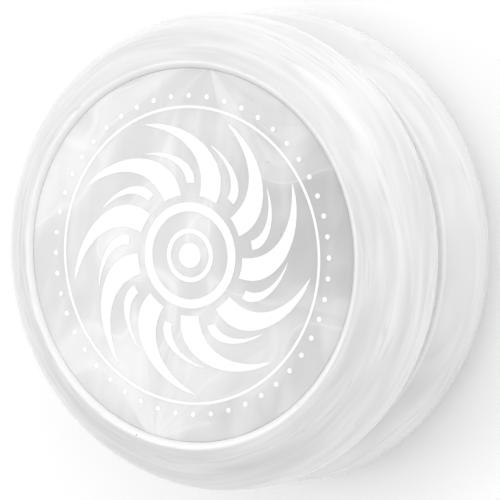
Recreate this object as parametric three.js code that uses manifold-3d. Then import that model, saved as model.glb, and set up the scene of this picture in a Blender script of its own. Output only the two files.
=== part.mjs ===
// Looping yo-yo: two moulded halves screwed together over a size A ball bearing.
// Millimetres, +Z up. The yo-yo lies flat on one face, with the axle along Z and the
// origin at the centre of the bearing. The halves are the same moulding, one turned over.

import * as THREE from 'three';
import { mergeVertices } from 'three/addons/utils/BufferGeometryUtils.js';
import Module from 'manifold-3d';

const wasm = await Module();
wasm.setup();

// --- Outside of a half ---------------------------------------------------------------
const BODY_RADIUS = 28.5;
const GAP_HALF = 1.05;            // half of the string gap between the halves
const GAP_EDGE_RADIUS = 26.2;     // where the flat gap wall meets the rounded rim
const WIDEST_HEIGHT = 5.9;        // height of the largest radius above the mid-plane
const SHOULDER_RADIAL = 8.3;      // elliptical shoulder from the widest ring to the crest
const SHOULDER_AXIAL = 8.15;
const CREST_OUTER_RADIUS = 23.1;  // flat ring that the yo-yo lies on
const CREST_INNER_RADIUS = 22.35; // from here a small bevel runs down to the disc

// --- Face disc and its seat ----------------------------------------------------------
const CAP_RADIUS = 22.15;
const CAP_EDGE_HEIGHT = 13.1;     // height of the disc's edge above the mid-plane
const CAP_THICKNESS = 1.5;
const CAP_DOME = 0.35;            // rise of the disc's centre over its edge
const CAP_CHAMFER = 0.1;
const SEAT_CLEARANCE = 0.06;
const LEDGE_RADIUS = 20.95;
const SKIRT_THICKNESS = 0.8;
const SKIRT_DEPTH = 1.7;

// --- Floor and hub of a half ---------------------------------------------------------
const FLOOR_HEIGHT = 3.6;
const FLOOR_FILLET = 1.6;
const HUB_RADIUS = 6.2;
const HUB_HEIGHT = 8.2;
const BEARING_WELL_RADIUS = 5.3;
const BEARING_WELL_HEIGHT = 1.95;
const RIB_COUNT = 24;             // moulded starburst that grips the string
const RIB_INNER_RADIUS = 6.2;
const RIB_OUTER_RADIUS = 12.0;
const RIB_WIDTH = 0.6;
const RIB_RISE = 0.2;

// --- Axle, nuts and spacers ----------------------------------------------------------
const AXLE_RADIUS = 2.0;
const AXLE_HALF_LENGTH = 10.0;
const AXLE_CHAMFER = 0.4;
const SOCKET_ACROSS_FLATS = 2.0;
const SOCKET_DEPTH = 2.2;
const NUT_ACROSS_FLATS = 7.0;
const NUT_THICKNESS = 3.2;
const NUT_CHAMFER_ANGLE = Math.PI / 6;
const NUT_POCKET_FLOOR = 4.6;
const SPACER_FLANGE_RADIUS = 3.6;
const SPACER_FLANGE_TOP = 3.2;
const SPACER_SHANK_RADIUS = 3.12;
const SPACER_SHANK_END = 0.15;
const BORE_CLEARANCE = 0.15;      // room round the axle in the plastic
const FIT = 0.05;                 // clearance between pieces that touch

// --- Size A ball bearing: 6.35 bore, 9.525 outside, 3.175 wide -----------------------
const BEARING_BORE_RADIUS = 3.175;
const BEARING_OUTER_RADIUS = 4.7625;
const BEARING_HALF_WIDTH = 1.5875;
const BALL_COUNT = 11;
const BALL_RADIUS = 0.5;
const PITCH_RADIUS = 3.97;
const GROOVE_RADIUS = 0.56;
const INNER_LAND_RADIUS = 3.65;
const OUTER_LAND_RADIUS = 4.29;
const SHIELD_SEAT_RADIUS = 4.5;
const SHIELD_SEAT_HEIGHT = 1.15;
const SHIELD_INNER_RADIUS = 3.72;
const SHIELD_THICKNESS = 0.14;
const SNAP_RING_THICKNESS = 0.14;
const SNAP_RING_INNER_RADIUS = 4.3;
const SNAP_RING_OPENING = 0.6;    // width of the slot that makes it a C
const CAGE_INNER_RADIUS = 3.74;
const CAGE_OUTER_RADIUS = 4.2;
const CAGE_HALF_WIDTH = 0.78;

// --- Facets --------------------------------------------------------------------------
const RIM_SEGMENTS = 48;
const SMALL_SEGMENTS = 24;
const LIP_STEPS = 4;
const SHOULDER_STEPS = 8;
const DOME_STEPS = 3;
const GROOVE_STEPS = 5;
const FILLET_STEPS = 3;
const BALL_SEGMENTS = 8;
const BALL_BANDS = 5;
const POCKET_BANDS = 6;
const CUT_PAST = 1;               // how far a cut runs beyond the face that it opens
const WELD_DISTANCE = 1e-5;       // vertices nearer than this are one

const plastic = (color, roughness) =>
  new THREE.MeshStandardMaterial({ color, roughness, metalness: 0 });
const metal = (color, roughness) =>
  new THREE.MeshStandardMaterial({ color, roughness, metalness: 1 });

// Points [radius, height] of an elliptical arc, both ends included; angles in radians.
function arc(centreRadius, centreHeight, radial, axial, from, to, steps) {
  const points = [];
  for (let i = 0; i <= steps; i++) {
    const angle = from + ((to - from) * i) / steps;
    points.push([
      centreRadius + radial * Math.cos(angle),
      centreHeight + axial * Math.sin(angle),
    ]);
  }
  return points;
}

// Solid of revolution about Z from a profile that runs counter-clockwise in (radius, height).
function revolve(profile, segments) {
  const closed = [...profile, profile[0]];
  const points = closed.map(([radius, height]) => new THREE.Vector2(radius, height));
  return new THREE.LatheGeometry(points, segments).rotateX(Math.PI / 2);
}

// Upright hexagonal prism between two heights.
function hexPrism(acrossFlats, bottom, top) {
  const circumradius = acrossFlats / Math.sqrt(3);
  const height = top - bottom;
  const prism = new THREE.CylinderGeometry(circumradius, circumradius, height, 6);
  return prism.rotateX(Math.PI / 2).translate(0, 0, bottom + height / 2);
}

function toManifold(geometry) {
  const bare = geometry.clone();
  bare.deleteAttribute('normal');
  bare.deleteAttribute('uv');
  const merged = mergeVertices(bare, WELD_DISTANCE);
  return new wasm.Manifold(new wasm.Mesh({
    numProp: 3,
    vertProperties: new Float32Array(merged.attributes.position.array),
    triVerts: new Uint32Array(merged.index.array),
  }));
}

function toGeometry(solid) {
  const mesh = solid.getMesh();
  const geometry = new THREE.BufferGeometry();
  geometry.setAttribute('position', new THREE.BufferAttribute(mesh.vertProperties, 3));
  geometry.setIndex(new THREE.BufferAttribute(mesh.triVerts, 1));
  geometry.computeVertexNormals();
  return geometry;
}

function named(name, geometry, material) {
  const mesh = new THREE.Mesh(geometry, material);
  mesh.name = name;
  return mesh;
}

// --- Body: thick rounded rim, flat gap wall, hub, and a seat for the face disc --------
function bodyGeometry() {
  const drop = BODY_RADIUS - GAP_EDGE_RADIUS;
  const rise = WIDEST_HEIGHT - GAP_HALF;
  const lipRadius = (rise * rise + drop * drop) / (2 * drop);
  const lip = arc(
    BODY_RADIUS - lipRadius, WIDEST_HEIGHT, lipRadius, lipRadius,
    -Math.asin(rise / lipRadius), 0, LIP_STEPS,
  );
  const shoulderCentre = BODY_RADIUS - SHOULDER_RADIAL;
  const crestAngle = Math.acos((CREST_OUTER_RADIUS - shoulderCentre) / SHOULDER_RADIAL);
  const shoulder = arc(
    shoulderCentre, WIDEST_HEIGHT, SHOULDER_RADIAL, SHOULDER_AXIAL,
    0, crestAngle, SHOULDER_STEPS,
  );
  const crestHeight = shoulder.at(-1)[1];
  const seatRadius = CAP_RADIUS + SEAT_CLEARANCE;
  const seatHeight = CAP_EDGE_HEIGHT - CAP_THICKNESS - FIT;
  const boreRadius = AXLE_RADIUS + BORE_CLEARANCE;
  const spacerTop = SPACER_FLANGE_TOP + FIT;
  const spacerRadius = SPACER_FLANGE_RADIUS + FIT;
  const floorFillet = arc(
    LEDGE_RADIUS - FLOOR_FILLET, FLOOR_HEIGHT + FLOOR_FILLET,
    FLOOR_FILLET, FLOOR_FILLET, 0, -Math.PI / 2, FILLET_STEPS,
  );
  const profile = [
    [boreRadius, spacerTop],
    [spacerRadius, spacerTop],
    [spacerRadius, BEARING_WELL_HEIGHT],
    [BEARING_WELL_RADIUS, BEARING_WELL_HEIGHT],
    [BEARING_WELL_RADIUS, GAP_HALF],
    ...lip,
    ...shoulder.slice(1),
    [CREST_INNER_RADIUS, crestHeight],
    [seatRadius, CAP_EDGE_HEIGHT],
    [seatRadius, seatHeight],
    [LEDGE_RADIUS, seatHeight],
    ...floorFillet,
    [HUB_RADIUS, FLOOR_HEIGHT],
    [HUB_RADIUS, HUB_HEIGHT],
    [boreRadius, HUB_HEIGHT],
  ];
  let body = toManifold(revolve(profile, RIM_SEGMENTS));
  const pocketTop = HUB_HEIGHT + CUT_PAST;
  const pocket = hexPrism(NUT_ACROSS_FLATS + 2 * FIT, NUT_POCKET_FLOOR, pocketTop);
  body = body.subtract(toManifold(pocket));
  const ribLength = RIB_OUTER_RADIUS - RIB_INNER_RADIUS;
  const ribDepth = RIB_RISE * 2;
  for (let i = 0; i < RIB_COUNT; i++) {
    const rib = new THREE.BoxGeometry(ribLength, RIB_WIDTH, ribDepth)
      .translate(RIB_INNER_RADIUS + ribLength / 2, 0, GAP_HALF)
      .rotateZ((2 * Math.PI * i) / RIB_COUNT);
    body = body.add(toManifold(rib));
  }
  return toGeometry(body);
}

// --- Face disc: slightly domed, with a snap skirt under it -----------------------------
function capGeometry() {
  const underside = CAP_EDGE_HEIGHT - CAP_THICKNESS;
  const skirtOuter = LEDGE_RADIUS - FIT;
  const skirtInner = skirtOuter - SKIRT_THICKNESS;
  const topRadius = CAP_RADIUS - CAP_CHAMFER;
  const dome = [];
  for (let i = 0; i <= DOME_STEPS; i++) {
    const radius = topRadius * (1 - i / DOME_STEPS);
    dome.push([radius, CAP_EDGE_HEIGHT + CAP_DOME * (1 - (radius / topRadius) ** 2)]);
  }
  const profile = [
    [0, underside],
    [skirtInner, underside],
    [skirtInner, underside - SKIRT_DEPTH],
    [skirtOuter - SKIRT_THICKNESS / 2, underside - SKIRT_DEPTH],
    [skirtOuter, underside - SKIRT_DEPTH / 2],
    [skirtOuter, underside],
    [CAP_RADIUS, underside],
    [CAP_RADIUS, CAP_EDGE_HEIGHT - CAP_CHAMFER],
    ...dome,
  ];
  const points = profile.map(([radius, height]) => new THREE.Vector2(radius, height));
  return new THREE.LatheGeometry(points, RIM_SEGMENTS).rotateX(Math.PI / 2);
}

// --- Hexagon nut with chamfered corners ------------------------------------------------
function nutGeometry() {
  const bottom = NUT_POCKET_FLOOR + FIT;
  const top = bottom + NUT_THICKNESS;
  const cornerRadius = NUT_ACROSS_FLATS / Math.sqrt(3);
  const chamferRadius = NUT_ACROSS_FLATS / 2;
  const chamferDrop = (cornerRadius - chamferRadius) * Math.tan(NUT_CHAMFER_ANGLE);
  const bore = AXLE_RADIUS + FIT;
  const envelope = revolve([
    [bore, bottom],
    [chamferRadius, bottom],
    [cornerRadius, bottom + chamferDrop],
    [cornerRadius, top - chamferDrop],
    [chamferRadius, top],
    [bore, top],
  ], SMALL_SEGMENTS);
  const prism = hexPrism(NUT_ACROSS_FLATS, bottom - CUT_PAST, top + CUT_PAST);
  return toGeometry(toManifold(envelope).intersect(toManifold(prism)));
}

// --- Spacer: its shank centres the inner race and its flange clamps it -----------------
function spacerGeometry() {
  const bore = AXLE_RADIUS + FIT;
  const flangeBottom = BEARING_HALF_WIDTH + FIT;
  return revolve([
    [bore, SPACER_SHANK_END],
    [SPACER_SHANK_RADIUS - FIT, SPACER_SHANK_END],
    [SPACER_SHANK_RADIUS, SPACER_SHANK_END + FIT],
    [SPACER_SHANK_RADIUS, flangeBottom],
    [SPACER_FLANGE_RADIUS, flangeBottom],
    [SPACER_FLANGE_RADIUS, SPACER_FLANGE_TOP],
    [bore, SPACER_FLANGE_TOP],
  ], SMALL_SEGMENTS);
}

// --- Axle: set screw with a hexagon socket in each end ---------------------------------
function axleGeometry() {
  const end = AXLE_HALF_LENGTH;
  const screw = new THREE.LatheGeometry([
    new THREE.Vector2(0, -end),
    new THREE.Vector2(AXLE_RADIUS - AXLE_CHAMFER, -end),
    new THREE.Vector2(AXLE_RADIUS, -end + AXLE_CHAMFER),
    new THREE.Vector2(AXLE_RADIUS, end - AXLE_CHAMFER),
    new THREE.Vector2(AXLE_RADIUS - AXLE_CHAMFER, end),
    new THREE.Vector2(0, end),
  ], SMALL_SEGMENTS).rotateX(Math.PI / 2);
  const inside = end - SOCKET_DEPTH;
  const outside = end + CUT_PAST;
  const upperSocket = hexPrism(SOCKET_ACROSS_FLATS, inside, outside);
  const lowerSocket = hexPrism(SOCKET_ACROSS_FLATS, -outside, -inside);
  const solid = toManifold(screw)
    .subtract(toManifold(upperSocket))
    .subtract(toManifold(lowerSocket));
  return toGeometry(solid);
}

// --- Bearing races: the ball groove is an arc about the pitch circle --------------------
function innerRaceGeometry() {
  const reach = Math.acos((PITCH_RADIUS - INNER_LAND_RADIUS) / GROOVE_RADIUS);
  const groove = arc(
    PITCH_RADIUS, 0, GROOVE_RADIUS, GROOVE_RADIUS, Math.PI + reach, Math.PI - reach,
    GROOVE_STEPS,
  );
  return revolve([
    [BEARING_BORE_RADIUS, -BEARING_HALF_WIDTH],
    [INNER_LAND_RADIUS, -BEARING_HALF_WIDTH],
    ...groove,
    [INNER_LAND_RADIUS, BEARING_HALF_WIDTH],
    [BEARING_BORE_RADIUS, BEARING_HALF_WIDTH],
  ], SMALL_SEGMENTS);
}

function outerRaceGeometry() {
  const reach = Math.acos((OUTER_LAND_RADIUS - PITCH_RADIUS) / GROOVE_RADIUS);
  const groove = arc(PITCH_RADIUS, 0, GROOVE_RADIUS, GROOVE_RADIUS, reach, -reach, GROOVE_STEPS);
  return revolve([
    [BEARING_OUTER_RADIUS, -BEARING_HALF_WIDTH],
    [BEARING_OUTER_RADIUS, BEARING_HALF_WIDTH],
    [SHIELD_SEAT_RADIUS, BEARING_HALF_WIDTH],
    [SHIELD_SEAT_RADIUS, SHIELD_SEAT_HEIGHT],
    [OUTER_LAND_RADIUS, SHIELD_SEAT_HEIGHT],
    ...groove,
    [OUTER_LAND_RADIUS, -SHIELD_SEAT_HEIGHT],
    [SHIELD_SEAT_RADIUS, -SHIELD_SEAT_HEIGHT],
    [SHIELD_SEAT_RADIUS, -BEARING_HALF_WIDTH],
  ], SMALL_SEGMENTS);
}

function flatRing(innerRadius, outerRadius, bottom, top) {
  return revolve([
    [innerRadius, bottom],
    [outerRadius, bottom],
    [outerRadius, top],
    [innerRadius, top],
  ], SMALL_SEGMENTS);
}

// C-shaped wire ring: a flat ring with a slot cut through it.
function snapRingGeometry(bottom) {
  const outer = SHIELD_SEAT_RADIUS - FIT / 2;
  const ring = flatRing(SNAP_RING_INNER_RADIUS, outer, bottom, bottom + SNAP_RING_THICKNESS);
  const reach = 2 * (outer - SNAP_RING_INNER_RADIUS) + CUT_PAST;
  const slot = new THREE.BoxGeometry(reach, SNAP_RING_OPENING, 2 * CUT_PAST)
    .translate(outer, 0, bottom);
  return toGeometry(toManifold(ring).subtract(toManifold(slot)));
}

function ballPosition(index) {
  const angle = (2 * Math.PI * (index + 0.5)) / BALL_COUNT;
  return new THREE.Vector3(PITCH_RADIUS * Math.cos(angle), PITCH_RADIUS * Math.sin(angle), 0);
}

function cageGeometry() {
  const ring = flatRing(
    CAGE_INNER_RADIUS, CAGE_OUTER_RADIUS, -CAGE_HALF_WIDTH, CAGE_HALF_WIDTH,
  );
  let cage = toManifold(ring);
  for (let i = 0; i < BALL_COUNT; i++) {
    const at = ballPosition(i);
    const pocket = new THREE.SphereGeometry(BALL_RADIUS + FIT, BALL_SEGMENTS, POCKET_BANDS)
      .translate(at.x, at.y, at.z);
    cage = cage.subtract(toManifold(pocket));
  }
  return toGeometry(cage);
}

// --- Assembly --------------------------------------------------------------------------
// One half, built above the mid-plane: body, face disc, nut, spacer.
function half(prefix) {
  const group = new THREE.Group();
  group.add(
    named(`${prefix}_body`, bodyGeometry(), plastic(0xe6e7ea, 0.18)),
    named(`${prefix}_cap`, capGeometry(), plastic(0xe9eaec, 0.12)),
    named(`${prefix}_nut`, nutGeometry(), metal(0xc9cbd0, 0.3)),
    named(`${prefix}_spacer`, spacerGeometry(), metal(0xd5d7da, 0.25)),
  );
  return group;
}

// The shield and the snap ring on one side of the bearing, built above the mid-plane.
function bearingSide(prefix) {
  const group = new THREE.Group();
  const shieldBottom = SHIELD_SEAT_HEIGHT + FIT / 2;
  const shieldTop = shieldBottom + SHIELD_THICKNESS;
  const shieldOuter = SHIELD_SEAT_RADIUS - FIT / 2;
  const shield = flatRing(SHIELD_INNER_RADIUS, shieldOuter, shieldBottom, shieldTop);
  group.add(
    named(`${prefix}_shield`, shield, metal(0xb9bcc2, 0.3)),
    named(`${prefix}_snap_ring`, snapRingGeometry(shieldTop + FIT / 2), metal(0x9da1a8, 0.35)),
  );
  return group;
}

function balls() {
  const group = new THREE.Group();
  for (let i = 0; i < BALL_COUNT; i++) {
    const number = String(i + 1).padStart(2, '0');
    const sphere = new THREE.SphereGeometry(BALL_RADIUS, BALL_SEGMENTS, BALL_BANDS)
      .rotateX(Math.PI / 2);
    const ball = named(`ball_${number}`, sphere, metal(0xe4e6ea, 0.08));
    ball.position.copy(ballPosition(i));
    group.add(ball);
  }
  return group;
}

const yoyo = new THREE.Group();

const upperHalf = half('upper');
const lowerHalf = half('lower');
lowerHalf.rotation.x = Math.PI;

const upperSide = bearingSide('upper');
const lowerSide = bearingSide('lower');
lowerSide.rotation.x = Math.PI;

yoyo.add(
  upperHalf,
  lowerHalf,
  named('axle', axleGeometry(), metal(0x8f949c, 0.35)),
  named('bearing_inner_race', innerRaceGeometry(), metal(0xd0d3d8, 0.15)),
  named('bearing_outer_race', outerRaceGeometry(), metal(0xd0d3d8, 0.15)),
  named('ball_cage', cageGeometry(), metal(0xc2a35a, 0.3)),
  upperSide,
  lowerSide,
  balls(),
);

export default yoyo;
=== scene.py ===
"""Looks of a looping yo-yo: two marbled plastic halves with printed face discs, screwed
together over a ball bearing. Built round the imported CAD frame, in its coordinates."""

import math

import bpy
import numpy as np
from mathutils import Matrix, Vector


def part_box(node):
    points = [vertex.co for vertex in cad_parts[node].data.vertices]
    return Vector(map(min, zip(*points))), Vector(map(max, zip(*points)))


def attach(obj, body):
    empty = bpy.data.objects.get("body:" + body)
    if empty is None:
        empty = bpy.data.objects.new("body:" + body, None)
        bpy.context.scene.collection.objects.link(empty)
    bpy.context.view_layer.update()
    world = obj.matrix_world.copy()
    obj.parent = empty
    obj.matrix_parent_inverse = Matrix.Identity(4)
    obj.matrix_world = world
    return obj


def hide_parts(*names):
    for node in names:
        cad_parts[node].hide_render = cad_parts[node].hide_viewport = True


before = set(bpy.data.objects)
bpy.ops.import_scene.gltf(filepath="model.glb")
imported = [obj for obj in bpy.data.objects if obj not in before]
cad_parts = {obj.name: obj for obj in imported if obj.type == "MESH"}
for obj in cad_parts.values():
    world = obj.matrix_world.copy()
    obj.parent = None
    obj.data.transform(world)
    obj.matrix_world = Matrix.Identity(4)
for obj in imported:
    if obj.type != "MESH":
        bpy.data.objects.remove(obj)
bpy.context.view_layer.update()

MM = 0.001


def top_of(node):
    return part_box(node)[1].z / MM


def bottom_of(node):
    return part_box(node)[0].z / MM


def radius_of(node):
    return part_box(node)[1].x / MM


# --- Sizes in millimetres ----------------------------------------------------------------
# The outlines come from the frame. The rest is as in the CAD model, unless a comment says
# that it differs.

BODY_RADIUS = radius_of("upper_body")
HALF_WIDTH = top_of("upper_body")
RIB_RISE = 0.2
GAP_HALF = bottom_of("upper_body") + RIB_RISE
GAP_EDGE_RADIUS = 26.2
WIDEST_HEIGHT = 5.9
SHOULDER_RADIAL = 8.3
SHOULDER_AXIAL = 8.15
CREST_OUTER_RADIUS = 23.1
CREST_INNER_RADIUS = 22.35
LIP_SLOPE = 0.4             # how much further out than in the CAD the slope to the disc begins
LIP_SLOPE_RADIUS = CREST_INNER_RADIUS + LIP_SLOPE

CAP_RADIUS = radius_of("upper_cap")
CAP_DOME = 0.35
CAP_EDGE_HEIGHT = top_of("upper_cap") - CAP_DOME
CAP_THICKNESS = 1.5
CAP_CHAMFER = 0.03          # 0.1 in the CAD, which draws too wide a line round the disc
CAP_BOTTOM = bottom_of("upper_cap")
SEAT_RADIUS = CAP_RADIUS + 0.015    # 0.06 of play in the CAD, for the same reason
LEDGE_RADIUS = 20.95
SKIRT_THICKNESS = 0.8
FIT = 0.05                  # clearance between pieces that touch
SEAT_HEIGHT = CAP_EDGE_HEIGHT - CAP_THICKNESS - FIT

FLOOR_HEIGHT = 3.6
FLOOR_FILLET = 1.6
HUB_RADIUS = 6.2
HUB_HEIGHT = 8.2
WELL_RADIUS = 5.3
WELL_HEIGHT = 1.95
RIB_COUNT = 24              # moulded starburst that grips the string
RIB_INNER_RADIUS = 6.2
RIB_OUTER_RADIUS = 12.0

AXLE_RADIUS = radius_of("axle")
AXLE_END = top_of("axle")
AXLE_CHAMFER = 0.4
THREAD_PITCH = 0.7
THREAD_DEPTH = 0.38         # the CAD's axle is plain
SOCKET_ACROSS_FLATS = 2.0
SOCKET_DEPTH = 2.2
NUT_ACROSS_FLATS = 7.0
NUT_CHAMFER_ANGLE = math.pi / 6
NUT_BOTTOM = bottom_of("upper_nut")
NUT_TOP = top_of("upper_nut")
BORE_RADIUS = AXLE_RADIUS + FIT
BODY_BORE_RADIUS = AXLE_RADIUS + 0.15   # room round the axle in the plastic
SPACER_SHANK_RADIUS = 3.12
SPACER_SEAT_RADIUS = radius_of("upper_spacer") + FIT
SPACER_SEAT_HEIGHT = top_of("upper_spacer") + FIT

RACE_BORE = 3.175
RACE_RADIUS = radius_of("bearing_outer_race")
RACE_HALF_WIDTH = top_of("bearing_outer_race")
SPACER_FLANGE_BOTTOM = RACE_HALF_WIDTH + FIT
BALL_RADIUS = 0.5
PITCH_RADIUS = 3.97
GROOVE_RADIUS = 0.56
INNER_LAND_RADIUS = 3.65
OUTER_LAND_RADIUS = 4.29
SHIELD_SEAT_RADIUS = 4.5
SHIELD_SEAT_HEIGHT = 1.15
SHIELD_INNER_RADIUS = 3.72
SNAP_RING_OPENING = math.radians(8)     # the CAD's slot is 0.6 mm wide, which is close

# --- Mesh building -----------------------------------------------------------------------

RIM_SEGMENTS = 240          # divisible by the ribs and by the six sides of a hexagon
SMALL_SEGMENTS = 96
BALL_SEGMENTS = 32
SHARP_ANGLE = math.radians(32)


def segment_angles(segments):
    return np.arange(segments) * 2 * math.pi / segments


def mesh_object(name, vertices, faces):
    mesh = bpy.data.meshes.new(name)
    mesh.from_pydata([tuple(v) for v in vertices], [], faces)
    mesh.update()
    mesh.shade_smooth()
    mesh.set_sharp_from_angle(angle=SHARP_ANGLE)
    obj = bpy.data.objects.new(name, mesh)
    bpy.context.scene.collection.objects.link(obj)
    return obj


def revolve(name, rings, segments=SMALL_SEGMENTS):
    """Closed solid from rings of (radius, height) in mm, anticlockwise in that plane.

    A radius or height may also be an array with one value per segment. A ring with
    radius 0 is a single point; without such a ring at each end the profile closes."""
    angles = segment_angles(segments)
    vertices = []
    starts = []
    for radius, height in rings:
        starts.append(len(vertices))
        if np.isscalar(radius) and radius == 0:
            vertices.append((0, 0, height * MM))
            continue
        r = np.broadcast_to(radius, segments) * MM
        z = np.broadcast_to(height, segments) * MM
        vertices.extend(np.column_stack((r * np.cos(angles), r * np.sin(angles), z)))
    sizes = np.diff(starts + [len(vertices)])
    faces = []
    pairs = list(zip(range(len(rings)), range(1, len(rings))))
    if sizes[0] > 1:
        pairs.append((len(rings) - 1, 0))
    for low, high in pairs:
        for j in range(segments):
            k = (j + 1) % segments
            corners = [
                starts[low] + j % sizes[low],
                starts[low] + k % sizes[low],
                starts[high] + k % sizes[high],
                starts[high] + j % sizes[high],
            ]
            faces.append(list(dict.fromkeys(corners)))
    return mesh_object(name, vertices, faces)


def arc(centre_radius, centre_height, radial, axial, start, end, steps):
    """Profile points of an elliptical arc, both ends included."""
    angles = np.linspace(start, end, steps + 1)
    return [
        (centre_radius + radial * math.cos(a), centre_height + axial * math.sin(a))
        for a in angles
    ]


def rounded(corners, steps=5):
    """Profile points from (radius, height, rounding); rounding 0 keeps a corner sharp."""
    points = []
    count = len(corners)
    for i, (radius, height, rounding) in enumerate(corners):
        corner = Vector((radius, height))
        if rounding == 0:
            points.append((radius, height))
            continue
        before = Vector(corners[i - 1][:2]) - corner
        after = Vector(corners[(i + 1) % count][:2]) - corner
        start = corner + before.normalized() * min(rounding, before.length / 2)
        end = corner + after.normalized() * min(rounding, after.length / 2)
        for t in np.linspace(0, 1, steps + 1):
            point = start * (1 - t) ** 2 + corner * (2 * t * (1 - t)) + end * t ** 2
            points.append((point.x, point.y))
    return points


def hexagon(across_flats, segments):
    """Radius of a hexagon at each segment's angle, with flats facing +X and -X."""
    angles = segment_angles(segments)
    sixth = math.pi / 3
    return across_flats / 2 / np.cos(angles - sixth * np.round(angles / sixth))


def as_built(obj):
    return obj


def turn_over(obj):
    """Turns a piece built above the mid-plane over, to stand for its twin below it."""
    obj.data.transform(Matrix.Rotation(math.pi, 4, "X"))
    return obj


TWINS = (("upper", as_built), ("lower", turn_over))


# --- Node trees --------------------------------------------------------------------------


class Tree:
    """A material's node tree, with short calls for the nodes used here."""

    def __init__(self, name):
        self.material = bpy.data.materials.new(name)
        self.material.use_nodes = True
        self.tree = self.material.node_tree
        self.tree.nodes.clear()
        coordinates = self.node("ShaderNodeTexCoord").outputs["Object"]
        self.place = self.vector("SCALE", coordinates, scale=1 / MM)

    def node(self, kind, inputs=None, **settings):
        made = self.tree.nodes.new(kind)
        for key, value in settings.items():
            setattr(made, key, value)
        for key, value in (inputs or {}).items():
            if isinstance(value, bpy.types.NodeSocket):
                self.tree.links.new(value, made.inputs[key])
            else:
                made.inputs[key].default_value = value
        return made

    def math(self, operation, a, b=0.0):
        return self.node("ShaderNodeMath", {0: a, 1: b}, operation=operation).outputs[0]

    def vector(self, operation, a, scale=1.0):
        made = self.node("ShaderNodeVectorMath", {0: a, 3: scale}, operation=operation)
        return made.outputs[1 if operation == "LENGTH" else 0]

    def split(self, vector):
        return self.node("ShaderNodeSeparateXYZ", {0: vector}).outputs

    def join(self, x, y, z):
        return self.node("ShaderNodeCombineXYZ", {0: x, 1: y, 2: z}).outputs[0]

    def noise(self, vector, scale, detail=4.0, roughness=0.5):
        made = self.node("ShaderNodeTexNoise", {
            "Vector": vector, "Scale": scale, "Detail": detail, "Roughness": roughness,
        })
        return made.outputs[0]

    def span(self, value, low, high, out_low=0.0, out_high=1.0):
        """Smooth step of a value from one range to another."""
        made = self.node("ShaderNodeMapRange", {
            "Value": value, "From Min": low, "From Max": high,
            "To Min": out_low, "To Max": out_high,
        }, interpolation_type="SMOOTHSTEP")
        return made.outputs[0]

    def ridge(self, value, middle, width):
        """1 along the line where value crosses middle, falling to 0 at width from it."""
        away = self.math("ABSOLUTE", self.math("SUBTRACT", value, middle))
        return self.span(away, 0.0, width, 1.0, 0.0)

    def mix(self, factor, a, b):
        return self.node("ShaderNodeMix", {0: factor, 6: a, 7: b}, data_type="RGBA").outputs[2]

    def bump(self, height, strength, distance):
        made = self.node("ShaderNodeBump", {
            "Height": height, "Strength": strength, "Distance": distance,
        })
        return made.outputs[0]

    def finish(self, **inputs):
        named = {key.replace("_", " "): value for key, value in inputs.items()}
        shader = self.node("ShaderNodeBsdfPrincipled", named)
        output = self.node("ShaderNodeOutputMaterial")
        self.tree.links.new(shader.outputs[0], output.inputs[0])
        return self.material


def grey(value, blue=0.0):
    """Opaque grey, shifted towards blue by the second value, for steel."""
    return (value - blue / 2, value, value + blue, 1.0)


# --- Plastics ----------------------------------------------------------------------------

SPECK_CELL = 3.0            # mm between the places where a dark speck may be
SPECK_RADIUS = 0.13
SPECK_CHANCE = 0.2          # share of those places that have one


def specks(tree):
    """A few tiny dark specks trapped in the plastic."""
    cells = tree.node("ShaderNodeTexVoronoi", {"Vector": tree.place, "Scale": 1 / SPECK_CELL})
    near = tree.span(cells.outputs["Distance"], 0.5 * SPECK_RADIUS / SPECK_CELL,
                     SPECK_RADIUS / SPECK_CELL, 1.0, 0.0)
    chance = tree.split(cells.outputs["Color"])[0]
    return tree.math("MULTIPLY", near, tree.math("GREATER_THAN", chance, 1 - SPECK_CHANCE))


def plastic_finish(tree, colour, roughness, subsurface, coat):
    """Glossy plastic that lets some light in, with faint smudges and moulding ripples."""
    smudge = tree.noise(tree.place, 0.12, 3.0)
    ripple = tree.noise(tree.place, 0.35, 2.0)
    return tree.finish(
        Base_Color=tree.mix(specks(tree), colour, grey(0.07)),
        Roughness=tree.span(smudge, 0.3, 0.7, roughness, roughness + 0.06),
        IOR=1.5,
        Subsurface_Weight=subsurface,
        Subsurface_Radius=(1.0, 1.0, 1.0),
        Subsurface_Scale=0.003,
        Coat_Weight=coat,
        Coat_Roughness=0.04,
        Coat_IOR=1.5,
        Normal=tree.bump(ripple, 0.03, 0.0003),
    )


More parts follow.
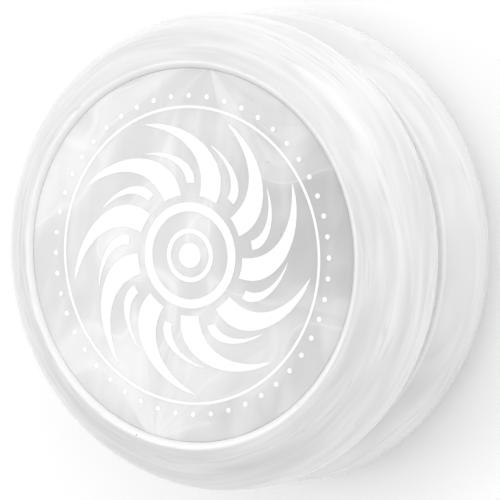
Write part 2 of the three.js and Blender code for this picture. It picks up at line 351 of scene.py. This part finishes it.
def marbled_body():
    """White plastic with soft silver streaks that run round the rim, as it flowed.

    The slope beside the disc and the gap's wall are painted paler, as the photograph shows them:
    painted light that lifts the shade on the slope and stands in for light let through into the gap."""
    tree = Tree("marbled_body")
    x, y, z = tree.split(tree.place)
    flat = tree.join(x, y, 0.0)
    radius = tree.vector("LENGTH", flat)
    round_x, round_y, _ = tree.split(tree.vector("NORMALIZE", flat))
    height = tree.math("ABSOLUTE", z)
    apart = tree.math("MULTIPLY", tree.math("LESS_THAN", z, 0.0), 40.0)  # one half's from the other's
    across = tree.math("ADD", tree.math("SUBTRACT", height, radius), apart)
    sway = tree.noise(tree.join(round_x, round_y, tree.math("MULTIPLY", across, 0.04)), 1.1, 1.0)
    across = tree.math("ADD", across, tree.math("MULTIPLY", sway, 4.0))

    def streaks(along, over, detail):
        line = tree.join(
            tree.math("MULTIPLY", round_x, along),
            tree.math("MULTIPLY", round_y, along),
            tree.math("MULTIPLY", across, over),
        )
        return tree.noise(line, 1.0, detail, 0.5)

    cloud = streaks(1.3, 0.16, 2.0)
    bands = streaks(1.5, 0.42, 1.5)
    threads = streaks(2.2, 0.95, 1.5)
    colour = tree.mix(tree.span(bands, 0.32, 0.68), grey(0.61), grey(0.72))
    colour = tree.mix(tree.math("MULTIPLY", tree.span(cloud, 0.40, 0.66), 0.6), colour, grey(0.70))
    light = tree.math("MULTIPLY", tree.span(threads, 0.50, 0.70), 0.32)
    colour = tree.mix(light, colour, grey(0.80))
    seldom = tree.math("MULTIPLY", tree.span(bands, 0.50, 0.62), tree.ridge(threads, 0.44, 0.05))
    colour = tree.mix(tree.math("MULTIPLY", seldom, 0.32), colour, grey(0.46))
    # Painted light: the slope beside the disc is painted paler, to lift the shade that falls on it.
    inside = tree.span(radius, LIP_SLOPE_RADIUS - 0.05, LIP_SLOPE_RADIUS + 0.2, 1.0, 0.0)
    above = tree.span(height, CAP_EDGE_HEIGHT - 0.2, CAP_EDGE_HEIGHT - 0.05)
    lip = tree.math("MULTIPLY", inside, above)
    colour = tree.mix(tree.math("MULTIPLY", lip, 0.8), colour, grey(0.88))
    # Painted light: the gap's wall is painted paler, standing in for light that the plastic lets
    # through into the shaded gap.
    gap = tree.span(height, GAP_HALF + 0.01, GAP_HALF + 0.35, 1.0, 0.0)
    colour = tree.mix(tree.math("MULTIPLY", gap, 0.75), colour, grey(0.90))
    return plastic_finish(tree, colour, 0.13, 0.5, 0.3)


def face_disc():
    """Silvery plastic with smoky patches and soft flow lines that fan out from two gates."""
    tree = Tree("face_disc")
    x, y, z = tree.split(tree.place)
    swirl = tree.noise(tree.place, 0.05, 1.0)

    def fan(gate_x, gate_y, direction, seed):
        """Noise drawn out along the rays from a gate, and how clear of the gate it is."""
        dx = tree.math("SUBTRACT", x, gate_x)
        dy = tree.math("MULTIPLY", tree.math("SUBTRACT", y, gate_y), direction)
        angle = tree.math("ARCTAN2", dx, dy)
        away = tree.vector("LENGTH", tree.join(dx, dy, 0.0))
        bent = tree.math("ADD", angle, tree.math("MULTIPLY", swirl, 1.6))
        line = tree.join(tree.math("MULTIPLY", bent, 1.9), tree.math("MULTIPLY", away, 0.045), seed)
        return tree.noise(line, 1.0, 2.0, 0.45), tree.span(away, 3.0, 14.0)

    top, clear_of_top = fan(-1.5, 22.5, -1.0, 1.7)
    bottom, clear_of_bottom = fan(-1.0, -22.5, 1.0, 8.3)
    clear = tree.math("MULTIPLY", clear_of_top, clear_of_bottom)
    place = tree.math("ADD", y, tree.math("MULTIPLY", tree.math("SUBTRACT", swirl, 0.5), 24.0))
    flow = tree.node("ShaderNodeMix", {
        0: tree.span(place, -9.0, 3.0), 2: bottom, 3: top,
    }, data_type="FLOAT").outputs[0]
    colour = tree.mix(tree.span(flow, 0.38, 0.60), grey(0.46), grey(0.57))
    drawn_out = tree.join(tree.math("MULTIPLY", x, 0.22), tree.math("MULTIPLY", y, 0.07), z)
    smoke = tree.noise(drawn_out, 1.0, 3.0)
    colour = tree.mix(tree.math("MULTIPLY", tree.span(smoke, 0.45, 0.70), 0.5), colour, grey(0.66))
    for level, width, strength in ((0.5, 0.02, 0.35), (0.61, 0.04, 0.3)):
        line = tree.math("MULTIPLY", tree.ridge(flow, level, width), clear)
        colour = tree.mix(tree.math("MULTIPLY", line, strength), colour, grey(0.71))
    return plastic_finish(tree, colour, 0.10, 0.25, 0.5)


def print_ink():
    """Opaque white screen print with slightly uneven cover."""
    tree = Tree("print_ink")
    cover = tree.noise(tree.place, 1.8, 5.0, 0.6)
    grain = tree.noise(tree.place, 9.0, 3.0, 0.6)
    return tree.finish(
        Base_Color=tree.mix(tree.span(cover, 0.3, 0.7), grey(0.81), grey(0.87)),
        Roughness=tree.span(grain, 0.3, 0.7, 0.28, 0.42),
        IOR=1.5,
        Normal=tree.bump(grain, 0.08, 0.00002),
    )


# --- Metals ------------------------------------------------------------------------------


def turned_metal(name, low, high, roughness, line_scale):
    """Metal with fine lathe lines round the axle, set by height and radius."""
    tree = Tree(name)
    x, y, z = tree.split(tree.place)
    radius = tree.vector("LENGTH", tree.join(x, y, 0.0))
    line = tree.join(tree.math("MULTIPLY", radius, line_scale), 0.0,
                     tree.math("MULTIPLY", z, line_scale))
    lines = tree.noise(line, 1.0, 4.0, 0.6)
    stain = tree.noise(tree.place, 0.8, 4.0)
    colour = tree.mix(tree.span(stain, 0.3, 0.7), low, high)
    return tree.finish(
        Base_Color=colour,
        Metallic=1.0,
        Roughness=tree.span(lines, 0.3, 0.7, roughness, roughness + 0.12),
        Normal=tree.bump(lines, 0.15, 0.00001),
    )


# --- Floor -------------------------------------------------------------------------------


def floor_paint():
    tree = Tree("floor_paint")
    tone = tree.noise(tree.place, 0.01, 3.0)
    return tree.finish(
        Base_Color=tree.mix(tone, grey(0.93), grey(0.95)),
        Roughness=0.9,
        Specular_IOR_Level=0.0,
    )


MATERIALS = {
    "marbled_body": marbled_body(),
    "face_disc": face_disc(),
    "print_ink": print_ink(),
    "axle_steel": turned_metal("axle_steel", grey(0.20, 0.01), grey(0.30, 0.01), 0.3, 6.0),
    "nut_steel": turned_metal("nut_steel", grey(0.62, 0.01), grey(0.72, 0.01), 0.22, 5.0),
    "spacer_aluminium": turned_metal(
        "spacer_aluminium", grey(0.78), grey(0.86), 0.24, 14.0),
    "race_steel": turned_metal("race_steel", grey(0.66, 0.01), grey(0.76, 0.01), 0.1, 18.0),
    "ball_steel": turned_metal("ball_steel", grey(0.80), grey(0.84), 0.04, 2.0),
    "shield_steel": turned_metal("shield_steel", grey(0.5), grey(0.6), 0.28, 9.0),
    "cage_brass": turned_metal(
        "cage_brass", (0.62, 0.44, 0.18, 1), (0.72, 0.54, 0.26, 1), 0.28, 8.0),
}


def add(obj, body, slot, nodes, paint=None):
    """Paints a piece, rides it on its body and lets it stand for its CAD nodes."""
    obj.data.materials.append(MATERIALS[paint or slot])
    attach(obj, body)
    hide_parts(*nodes)
    return obj


# --- Halves ------------------------------------------------------------------------------


def rib_wall():
    """Rings of the flat gap wall, with the moulded starburst standing 0.2 mm proud."""
    angles = segment_angles(RIM_SEGMENTS)
    crest = np.clip(1.7 * np.cos(angles * RIB_COUNT) - 0.3, 0, 1)
    wave = crest * crest * (3 - 2 * crest)
    rings = []
    for t in np.linspace(0, 1, 15):
        radius = RIB_INNER_RADIUS + t * (RIB_OUTER_RADIUS - RIB_INNER_RADIUS)
        run_out = min(1.0, 12 * t, 5 * (1 - t))     # short at the inner end, longer at the outer
        rings.append((radius, GAP_HALF - RIB_RISE * run_out * wave))
    return rings


def body_rings():
    """Half of the yo-yo: gap wall, rounded rim, lip, seat of the disc, floor and hub."""
    drop = BODY_RADIUS - GAP_EDGE_RADIUS
    rise = WIDEST_HEIGHT - GAP_HALF
    rim_radius = (rise * rise + drop * drop) / (2 * drop)
    rim_start = -math.asin(rise / rim_radius)
    rim = arc(BODY_RADIUS - rim_radius, WIDEST_HEIGHT, rim_radius, rim_radius,
              rim_start, 0, 14)
    shoulder_centre = BODY_RADIUS - SHOULDER_RADIAL
    crest_angle = math.acos((CREST_OUTER_RADIUS - shoulder_centre) / SHOULDER_RADIAL)
    shoulder = arc(shoulder_centre, WIDEST_HEIGHT, SHOULDER_RADIAL, SHOULDER_AXIAL,
                   0, crest_angle, 34)
    outside = [(r, z, 0) for r, z in rim[1:] + shoulder[1:-1]]
    past_ribs = (RIB_OUTER_RADIUS + 4.0, GAP_HALF, 0)       # keeps the wall's faces short
    well = rounded([
        (BODY_BORE_RADIUS, SPACER_SEAT_HEIGHT, 0),
        (SPACER_SEAT_RADIUS, SPACER_SEAT_HEIGHT, 0),
        (SPACER_SEAT_RADIUS, WELL_HEIGHT, 0.1),
        (WELL_RADIUS, WELL_HEIGHT, 0.2),
        (WELL_RADIUS, GAP_HALF, 0.15),
        past_ribs,
    ])
    shell = rounded([
        past_ribs,
        (RIB_OUTER_RADIUS + 10.0, GAP_HALF, 0),
        (GAP_EDGE_RADIUS, GAP_HALF, 0.3),
        *outside,
        (CREST_OUTER_RADIUS, HALF_WIDTH, 0.15),
        (LIP_SLOPE_RADIUS, HALF_WIDTH, 0.15),
        (SEAT_RADIUS, CAP_EDGE_HEIGHT, 0.02),
        (SEAT_RADIUS, SEAT_HEIGHT, 0.1),
        (LEDGE_RADIUS, SEAT_HEIGHT, 0.1),
        (LEDGE_RADIUS, FLOOR_HEIGHT, FLOOR_FILLET),
        (HUB_RADIUS, FLOOR_HEIGHT, 0.5),
        (HUB_RADIUS, HUB_HEIGHT, 0.3),
        (BODY_BORE_RADIUS, HUB_HEIGHT, 0),
    ])
    pocket = hexagon(NUT_ACROSS_FLATS + 2 * FIT, RIM_SEGMENTS)
    pocket_chamfer = 0.15
    hub = [
        (pocket + pocket_chamfer, HUB_HEIGHT),
        (pocket, HUB_HEIGHT - pocket_chamfer),
        (pocket, NUT_BOTTOM - FIT),
        (BODY_BORE_RADIUS, NUT_BOTTOM - FIT),
    ]
    return well[:-1] + rib_wall() + shell[:-1] + hub


def dome_height(radius):
    top_radius = CAP_RADIUS - CAP_CHAMFER
    return CAP_EDGE_HEIGHT + CAP_DOME * (1 - (radius / top_radius) ** 2)


def cap_rings():
    """Face disc: domed top, and a skirt underneath that snaps inside the ledge."""
    underside = CAP_EDGE_HEIGHT - CAP_THICKNESS
    skirt_outer = LEDGE_RADIUS - FIT
    skirt_inner = skirt_outer - SKIRT_THICKNESS
    edge = rounded([
        (skirt_inner, underside, 0.1),
        (skirt_inner, CAP_BOTTOM, 0.1),
        (skirt_outer, CAP_BOTTOM, 0.3),
        (skirt_outer, underside, 0.1),
        (CAP_RADIUS, underside, 0.1),
        (CAP_RADIUS, dome_height(CAP_RADIUS - CAP_CHAMFER), CAP_CHAMFER),
        (CAP_RADIUS - 2 * CAP_CHAMFER, dome_height(CAP_RADIUS - 2 * CAP_CHAMFER), 0),
        (0, underside, 0),
    ])[:-1]
    inner = np.linspace(CAP_RADIUS - 4 * CAP_CHAMFER, 0.6, 24)
    top = [(r, dome_height(r)) for r in inner]
    return [(0, underside), (10.0, underside), *edge, *top, (0, dome_height(0))]


# --- Print on the face discs: a generic pinwheel in a ring of dots -------------------------

INK_RISE = 0.03             # how far the ink stands above the disc, and reaches into it
INK_SINK = 0.04
VANE_COUNT = 9
DOT_COUNT = 48
DOT_RING_RADIUS = 18.9
DOT_RADIUS = 0.32


class Ink:
    """Collects thin closed patches that follow the dome of the face disc."""

    def __init__(self):
        self.vertices = []
        self.faces = []

    def patch(self, grid, wrap=False):
        """One patch from a grid of (x, y) in mm; wrap joins its last row to its first."""
        grid = np.asarray(grid, float)
        rows, columns, _ = grid.shape
        flat = grid.reshape(-1, 2)
        height = dome_height(np.hypot(flat[:, 0], flat[:, 1]))
        base = len(self.vertices)
        count = len(flat)
        for lift in (INK_RISE, -INK_SINK):
            self.vertices.extend(np.column_stack((flat, height + lift)) * MM)

        def at(i, j, under=0):
            return base + (i % rows) * columns + j + under * count

        last_row = rows if wrap else rows - 1
        for i in range(last_row):
            for j in range(columns - 1):
                quad = [(i, j), (i, j + 1), (i + 1, j + 1), (i + 1, j)]
                self.faces.append([at(*c) for c in quad])
                self.faces.append([at(*c, 1) for c in reversed(quad)])
            for j in (0, columns - 1):
                side = [at(i, j), at(i + 1, j), at(i + 1, j, 1), at(i, j, 1)]
                self.faces.append(side if j == 0 else side[::-1])
        if not wrap:
            for i in (0, rows - 1):
                for j in range(columns - 1):
                    side = [at(i, j + 1), at(i, j), at(i, j, 1), at(i, j + 1, 1)]
                    self.faces.append(side if i == 0 else side[::-1])

    def ring(self, inner, outer):
        """A flat ring, in steps of about half a millimetre."""
        angles = segment_angles(round(2 * math.pi * outer / 0.5))
        radii = np.linspace(outer, inner, 3)
        self.patch([[(r * math.cos(a), r * math.sin(a)) for r in radii] for a in angles],
                   wrap=True)

    def dot(self, x, y, radius, cells):
        """A round dot as a square grid bent into a circle."""
        line = np.linspace(-1, 1, cells + 1)
        grid = [[(x + radius * v * math.sqrt(1 - u * u / 2),
                  y + radius * u * math.sqrt(1 - v * v / 2)) for v in line] for u in line]
        self.patch([row[::-1] for row in grid])

    def vane(self, angle, inner, outer, sweep, width):
        """A crescent that sweeps round as it goes out, pointed at its outer end."""
        rows = []
        for t in np.linspace(0, 1, 25):
            radius = inner + (outer - inner) * t
            centre = angle + sweep * t * t
            taper = (1 - t) ** 0.6 * (0.55 + 0.9 * t)       # fullest near the middle
            half = width / 2 * taper / radius + 0.0015      # an angle, never quite 0
            span = np.linspace(half, -half, 5)
            rows.append([(radius * math.cos(centre + s), radius * math.sin(centre + s))
                         for s in span])
        self.patch(rows)


def face_print(name):
    ink = Ink()
    for i in range(VANE_COUNT):
        angle = 2 * math.pi * i / VANE_COUNT
        ink.vane(angle, inner=7.2, outer=16.6, sweep=0.75, width=4.4)
        ink.vane(angle + math.pi / VANE_COUNT, inner=8.6, outer=13.4, sweep=0.5, width=1.9)
    ink.ring(5.2, 6.3)
    ink.ring(2.6, 3.2)
    ink.dot(0, 0, 1.5, cells=8)
    for i in range(DOT_COUNT):
        angle = 2 * math.pi * (i + 0.5) / DOT_COUNT
        ink.dot(DOT_RING_RADIUS * math.cos(angle), DOT_RING_RADIUS * math.sin(angle),
                DOT_RADIUS, cells=4)
    ink.ring(17.4, 17.75)
    return mesh_object(name, ink.vertices, ink.faces)


for prefix, place in TWINS:
    body = f"{prefix}_half"
    shell = revolve(f"{prefix}_marbled_body", body_rings(), RIM_SEGMENTS)
    add(place(shell), body, "marbled_body", [f"{prefix}_body"])
    disc = revolve(f"{prefix}_face_disc", cap_rings(), RIM_SEGMENTS)
    add(place(disc), body, "face_disc", [f"{prefix}_cap"])
    add(place(face_print(f"{prefix}_face_print")), body, "face_disc",
        [f"{prefix}_cap"], "print_ink")


# --- Axle, nuts and spacers ----------------------------------------------------------------


def axle_rings():
    """Set screw with a rolled thread, a chamfer and a hexagon socket at each end."""
    segments = SMALL_SEGMENTS
    turn = segment_angles(segments) / (2 * math.pi)
    socket = hexagon(SOCKET_ACROSS_FLATS, segments)
    rings_per_turn = 10

    def end_face(side):
        end = side * AXLE_END
        depth = side * (AXLE_END - SOCKET_DEPTH)
        drill_point = side * (AXLE_END - SOCKET_DEPTH - 0.4)
        rings = [(0, drill_point), (socket, depth), (socket, end - side * 0.1),
                 (socket + 0.1, end), (AXLE_RADIUS - AXLE_CHAMFER, end)]
        return rings if side < 0 else rings[::-1]

    rows = []
    thread_end = AXLE_END - 0.06
    count = round(2 * thread_end / THREAD_PITCH * rings_per_turn)
    for height in np.linspace(-thread_end, thread_end, count):
        phase = (height / THREAD_PITCH - turn) % 1
        flank = np.clip(np.abs(phase - 0.5) * 2.6 - 0.12, 0, 1)     # flat at crest and root
        radius = AXLE_RADIUS - THREAD_DEPTH * flank
        room = AXLE_RADIUS - AXLE_CHAMFER + (AXLE_END - abs(height))
        rows.append((np.minimum(radius, room), height))
    return end_face(-1) + rows + end_face(1)


def nut_rings():
    """Hexagon nut whose corners are turned down to a cone at both ends."""
    flats = hexagon(NUT_ACROSS_FLATS, SMALL_SEGMENTS)
    corner = NUT_ACROSS_FLATS / math.sqrt(3)
    inner = NUT_ACROSS_FLATS / 2 - 0.1
    drop = (corner - inner) * math.tan(NUT_CHAMFER_ANGLE)
    bore_chamfer = 0.2
    rings = [(BORE_RADIUS, NUT_BOTTOM + bore_chamfer), (BORE_RADIUS + bore_chamfer, NUT_BOTTOM)]
    for t in np.linspace(0, 1, 7):
        rings.append((np.minimum(flats, inner + t * (corner - inner)), NUT_BOTTOM + t * drop))
    for t in np.linspace(1, 0, 7):
        rings.append((np.minimum(flats, inner + t * (corner - inner)), NUT_TOP - t * drop))
    return rings + [(BORE_RADIUS + bore_chamfer, NUT_TOP), (BORE_RADIUS, NUT_TOP - bore_chamfer)]


def spacer_rings():
    low = bottom_of("upper_spacer")
    high = top_of("upper_spacer")
    flange = radius_of("upper_spacer")
    return rounded([
        (BORE_RADIUS, low, 0.1),
        (SPACER_SHANK_RADIUS, low, 0.15),
        (SPACER_SHANK_RADIUS, SPACER_FLANGE_BOTTOM, 0),
        (flange, SPACER_FLANGE_BOTTOM, 0.08),
        (flange, high, 0.15),
        (BORE_RADIUS, high, 0.1),
    ])


add(revolve("axle_screw", axle_rings()), "lower_half", "axle_steel", ["axle"])
for prefix, place in TWINS:
    body = f"{prefix}_half"
    add(place(revolve(f"{prefix}_hex_nut", nut_rings())), body, "nut_steel",
        [f"{prefix}_nut"])
    add(place(revolve(f"{prefix}_bearing_seat", spacer_rings())), body,
        "spacer_aluminium", [f"{prefix}_spacer"])


# --- Bearing -------------------------------------------------------------------------------


def groove(land_distance, race):
    """Ball groove of a race whose land is that far from the pitch circle."""
    reach = math.acos(land_distance / GROOVE_RADIUS)
    if race == "inner":
        limits = (math.pi + reach, math.pi - reach)
    else:
        limits = (reach, -reach)
    points = arc(PITCH_RADIUS, 0, GROOVE_RADIUS, GROOVE_RADIUS, *limits, 16)
    return [(r, z, 0) for r, z in points]


def inner_race_rings():
    return rounded([
        (RACE_BORE, -RACE_HALF_WIDTH, 0.1),
        (INNER_LAND_RADIUS, -RACE_HALF_WIDTH, 0.06),
        *groove(PITCH_RADIUS - INNER_LAND_RADIUS, "inner"),
        (INNER_LAND_RADIUS, RACE_HALF_WIDTH, 0.06),
        (RACE_BORE, RACE_HALF_WIDTH, 0.1),
    ])


def outer_race_rings():
    return rounded([
        (RACE_RADIUS, -RACE_HALF_WIDTH, 0.15),
        (RACE_RADIUS, RACE_HALF_WIDTH, 0.15),
        (SHIELD_SEAT_RADIUS, RACE_HALF_WIDTH, 0.05),
        (SHIELD_SEAT_RADIUS, SHIELD_SEAT_HEIGHT, 0),
        (OUTER_LAND_RADIUS, SHIELD_SEAT_HEIGHT, 0),
        *groove(OUTER_LAND_RADIUS - PITCH_RADIUS, "outer"),
        (OUTER_LAND_RADIUS, -SHIELD_SEAT_HEIGHT, 0),
        (SHIELD_SEAT_RADIUS, -SHIELD_SEAT_HEIGHT, 0),
        (SHIELD_SEAT_RADIUS, -RACE_HALF_WIDTH, 0.05),
    ])


def shield_rings():
    low = bottom_of("upper_shield")
    high = top_of("upper_shield")
    outer = radius_of("upper_shield")
    return rounded([
        (SHIELD_INNER_RADIUS, low, 0.03),
        (outer, low, 0.03),
        (outer, high, 0.03),
        (SHIELD_INNER_RADIUS, high, 0.03),
    ])


def snap_ring(name):
    """C-shaped spring ring of round wire, seated at the edge of its shield."""
    low = bottom_of("upper_snap_ring")
    high = top_of("upper_snap_ring")
    wire = (high - low) / 2
    centre = SHIELD_SEAT_RADIUS - 0.03 - wire
    start = SNAP_RING_OPENING / 2
    along = np.linspace(start, 2 * math.pi - start, SMALL_SEGMENTS + 1)
    sides = 10
    vertices = []
    for a in along:
        for k in range(sides):
            b = 2 * math.pi * k / sides
            r = (centre + wire * math.cos(b)) * MM
            z = ((low + high) / 2 + wire * math.sin(b)) * MM
            vertices.append((r * math.cos(a), r * math.sin(a), z))
    count = len(vertices)
    faces = [list(range(sides)), list(range(count - 1, count - sides - 1, -1))]
    for i in range(len(along) - 1):
        for k in range(sides):
            n = (k + 1) % sides
            faces.append([i * sides + k, (i + 1) * sides + k,
                          (i + 1) * sides + n, i * sides + n])
    return mesh_object(name, vertices, faces)


def ball(name, node):
    low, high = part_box(node)
    centre = (low + high) / 2
    polar = np.linspace(-math.pi / 2, math.pi / 2, 17)[1:-1]
    rings = [(BALL_RADIUS * math.cos(p), BALL_RADIUS * math.sin(p)) for p in polar]
    made = revolve(name, [(0, -BALL_RADIUS), *rings, (0, BALL_RADIUS)], BALL_SEGMENTS)
    made.data.transform(Matrix.Translation(centre))
    return made


add(revolve("inner_race", inner_race_rings()), "bearing_core", "race_steel",
    ["bearing_inner_race"])
add(revolve("outer_race", outer_race_rings()), "bearing_outer", "race_steel",
    ["bearing_outer_race"])
for prefix, place in TWINS:
    add(place(revolve(f"{prefix}_bearing_shield", shield_rings())), "bearing_outer",
        "shield_steel", [f"{prefix}_shield"])
    add(place(snap_ring(f"{prefix}_retaining_ring")), "bearing_outer", "shield_steel",
        [f"{prefix}_snap_ring"])
for node in sorted(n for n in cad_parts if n.startswith("ball_") and n != "ball_cage"):
    add(ball(f"steel_{node}", node), f"rolling_{node}", "ball_steel", [node])

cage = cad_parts["ball_cage"]
cage.data.materials.clear()
cage.data.materials.append(MATERIALS["cage_brass"])


# --- Floor, light and camera -----------------------------------------------------------------

VIEW_TILT = math.radians(31.1)        # between the axle and the line of sight
AXLE_LEAN = math.radians(185.8)       # which way the axle points in the picture
PRINT_LEAN = math.radians(-9.0)       # how far the print is turned in the picture
CAMERA_DISTANCE = 0.9
FRAME_WIDTH_MM = 59.85                # width of the picture at the yo-yo
AIM_MM = Vector((0.19, -0.07, 0))     # what the picture's middle shows, from the bearing
FLOOR_GAP = 0.02                      # mm between the lower rim and the floor
FLOOR_REACH = 4.0                     # metres from the yo-yo to the floor's edges
ROOM_DIM = 0.77                       # brightness of the room where it is darkest
ROOM_BRIGHT = 1.28                    # and where it is brightest

axle = Vector((
    math.sin(VIEW_TILT) * math.cos(AXLE_LEAN),
    math.sin(VIEW_TILT) * math.sin(AXLE_LEAN),
    math.cos(VIEW_TILT),
))
across = Vector((math.cos(PRINT_LEAN), math.sin(PRINT_LEAN), 0))
across = (across - axle * across.dot(axle)).normalized()
PICTURE = Matrix((across, axle.cross(across), axle))    # picture directions to the frame's


def from_picture(x, y, z):
    """Direction in the frame of a direction in the picture: right, up, towards the eye."""
    return PICTURE @ Vector((x, y, z)).normalized()


def make_floor():
    corners = [(x * FLOOR_REACH, y * FLOOR_REACH, 0)
               for x, y in ((-1, -1), (1, -1), (1, 1), (-1, 1))]
    floor = mesh_object("floor", corners, [[0, 1, 2, 3]])
    floor.location.z = -(HALF_WIDTH + FLOOR_GAP) * MM
    floor.data.materials.append(floor_paint())


def softbox(name, direction, distance, across, upright, radiance):
    """Area light that faces the yo-yo from a direction; radiance is how bright it looks.

    It spans two edges across and two upright, each in metres from the point straight out
    in that direction."""
    left, right = across
    bottom, top = upright
    side = from_picture(1, 0, 0)
    side = (side - direction * side.dot(direction)).normalized()
    up = direction.cross(side)
    light = bpy.data.lights.new(name, "AREA")
    light.shape = "RECTANGLE"
    light.size = right - left
    light.size_y = top - bottom
    light.energy = radiance * light.size * light.size_y * math.pi
    lamp = bpy.data.objects.new(name, light)
    centre = direction * distance + side * (left + right) / 2 + up * (bottom + top) / 2
    turn = Matrix((side, up, direction)).transposed().to_4x4()
    lamp.matrix_world = Matrix.Translation(centre) @ turn
    bpy.context.scene.collection.objects.link(lamp)


def studio_world():
    """Pale room, brighter on the side that is up in the picture."""
    world = bpy.data.worlds.new("studio")
    world.use_nodes = True
    tree = world.node_tree
    place = tree.nodes.new("ShaderNodeTexCoord")
    towards = tree.nodes.new("ShaderNodeVectorMath")
    towards.operation = "DOT_PRODUCT"
    towards.inputs[1].default_value = from_picture(0.15, 1.0, 0.1)
    tree.links.new(place.outputs["Generated"], towards.inputs[0])
    strength = tree.nodes.new("ShaderNodeMapRange")
    strength.interpolation_type = "SMOOTHSTEP"
    for key, value in (("From Min", -0.9), ("From Max", 0.9), ("To Min", ROOM_DIM),
                       ("To Max", ROOM_BRIGHT)):
        strength.inputs[key].default_value = value
    tree.links.new(towards.outputs["Value"], strength.inputs["Value"])
    background = tree.nodes["Background"]
    background.inputs[0].default_value = (1.0, 1.0, 1.0, 1.0)
    tree.links.new(strength.outputs[0], background.inputs[1])
    bpy.context.scene.world = world


def make_camera():
    data = bpy.data.cameras.new("camera")
    data.sensor_width = 36.0
    data.lens = data.sensor_width * CAMERA_DISTANCE / (FRAME_WIDTH_MM * MM)
    data.clip_start = 0.01
    data.clip_end = 20.0
    camera = bpy.data.objects.new("camera", data)
    camera.matrix_world = Matrix.Translation(
        from_picture(0, 0, 1) * CAMERA_DISTANCE + PICTURE @ AIM_MM * MM) @ PICTURE.to_4x4()
    bpy.context.scene.collection.objects.link(camera)
    bpy.context.scene.camera = camera


make_floor()
studio_world()
make_camera()

# Three lights stand where the face disc mirrors them to the camera, and veil its print.
# The second reaches further right than the first. The third is right of both, and low.
mirror = from_picture(0, 0, -1) + 2 * math.cos(VIEW_TILT) * Vector((0, 0, 1))
softbox("disc_softbox", mirror, 0.8, (-0.14, 0.02), (-0.14, 0.14), 2.0)
softbox("disc_softbox_edge", mirror, 0.81, (-0.14, 0.055), (-0.14, 0.14), 1.8)
softbox("disc_card", mirror, 0.82, (0.055, 0.13), (-0.14, -0.022), 2.4)
softbox("key_softbox", from_picture(0.3, 0.8, 0.52), 0.6, (-0.25, 0.25), (-0.11, 0.16), 1.5)
softbox("fill_softbox", from_picture(0.5, -0.6, 0.65), 0.6, (-0.2, 0.2), (-0.1, 0.15), 0.8)

bpy.context.scene.view_settings.view_transform = "Standard"
